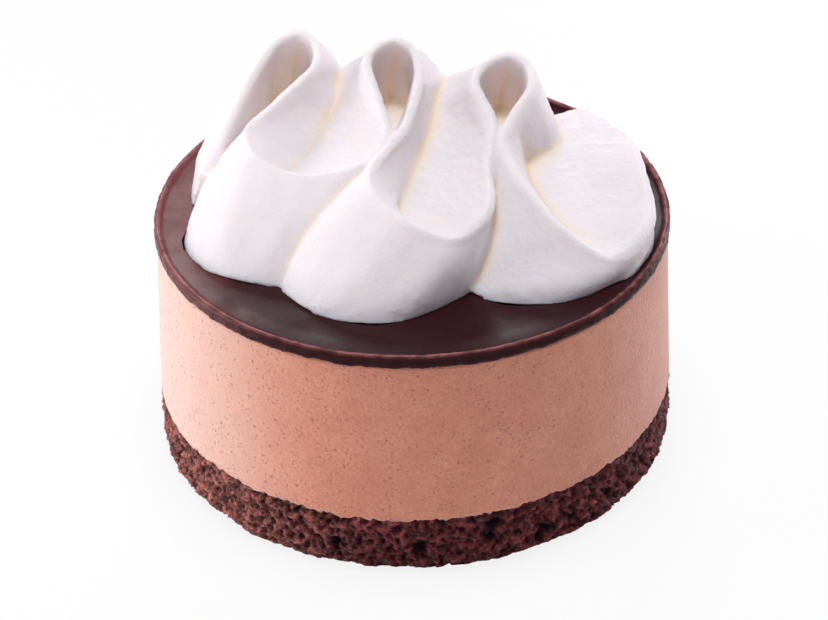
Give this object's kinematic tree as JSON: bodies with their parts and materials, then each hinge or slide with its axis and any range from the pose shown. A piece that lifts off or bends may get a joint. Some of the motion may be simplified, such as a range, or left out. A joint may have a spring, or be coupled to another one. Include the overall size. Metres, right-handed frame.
{
  "type": "chocolate mousse cake",
  "caption": "Round chocolate mousse cake with a sponge base, a mousse layer, a dark chocolate glaze and a folded ribbon of whipped cream on top.",
  "frame": {"origin": "centre of the sponge's flat base, on the surface that the cake stands on", "axes": "+Z is the cake's axis, upwards. -Y is the side of the cream's three lobes, and +Y the side of its three loops. +X is to the right, seen from -Y."},
  "size_m": [0.0718, 0.0718, 0.0518],
  "materials": {
    "sponge": "dry, porous crumb",
    "mousse": "satin, finely pitted",
    "glaze": "glossy",
    "cream": "soft satin"
  },
  "bodies": {
    "root": {"sponge_base": "sponge", "mousse": "mousse", "glaze": "glaze", "whipped_cream": "cream"}
  },
  "joints": []
}
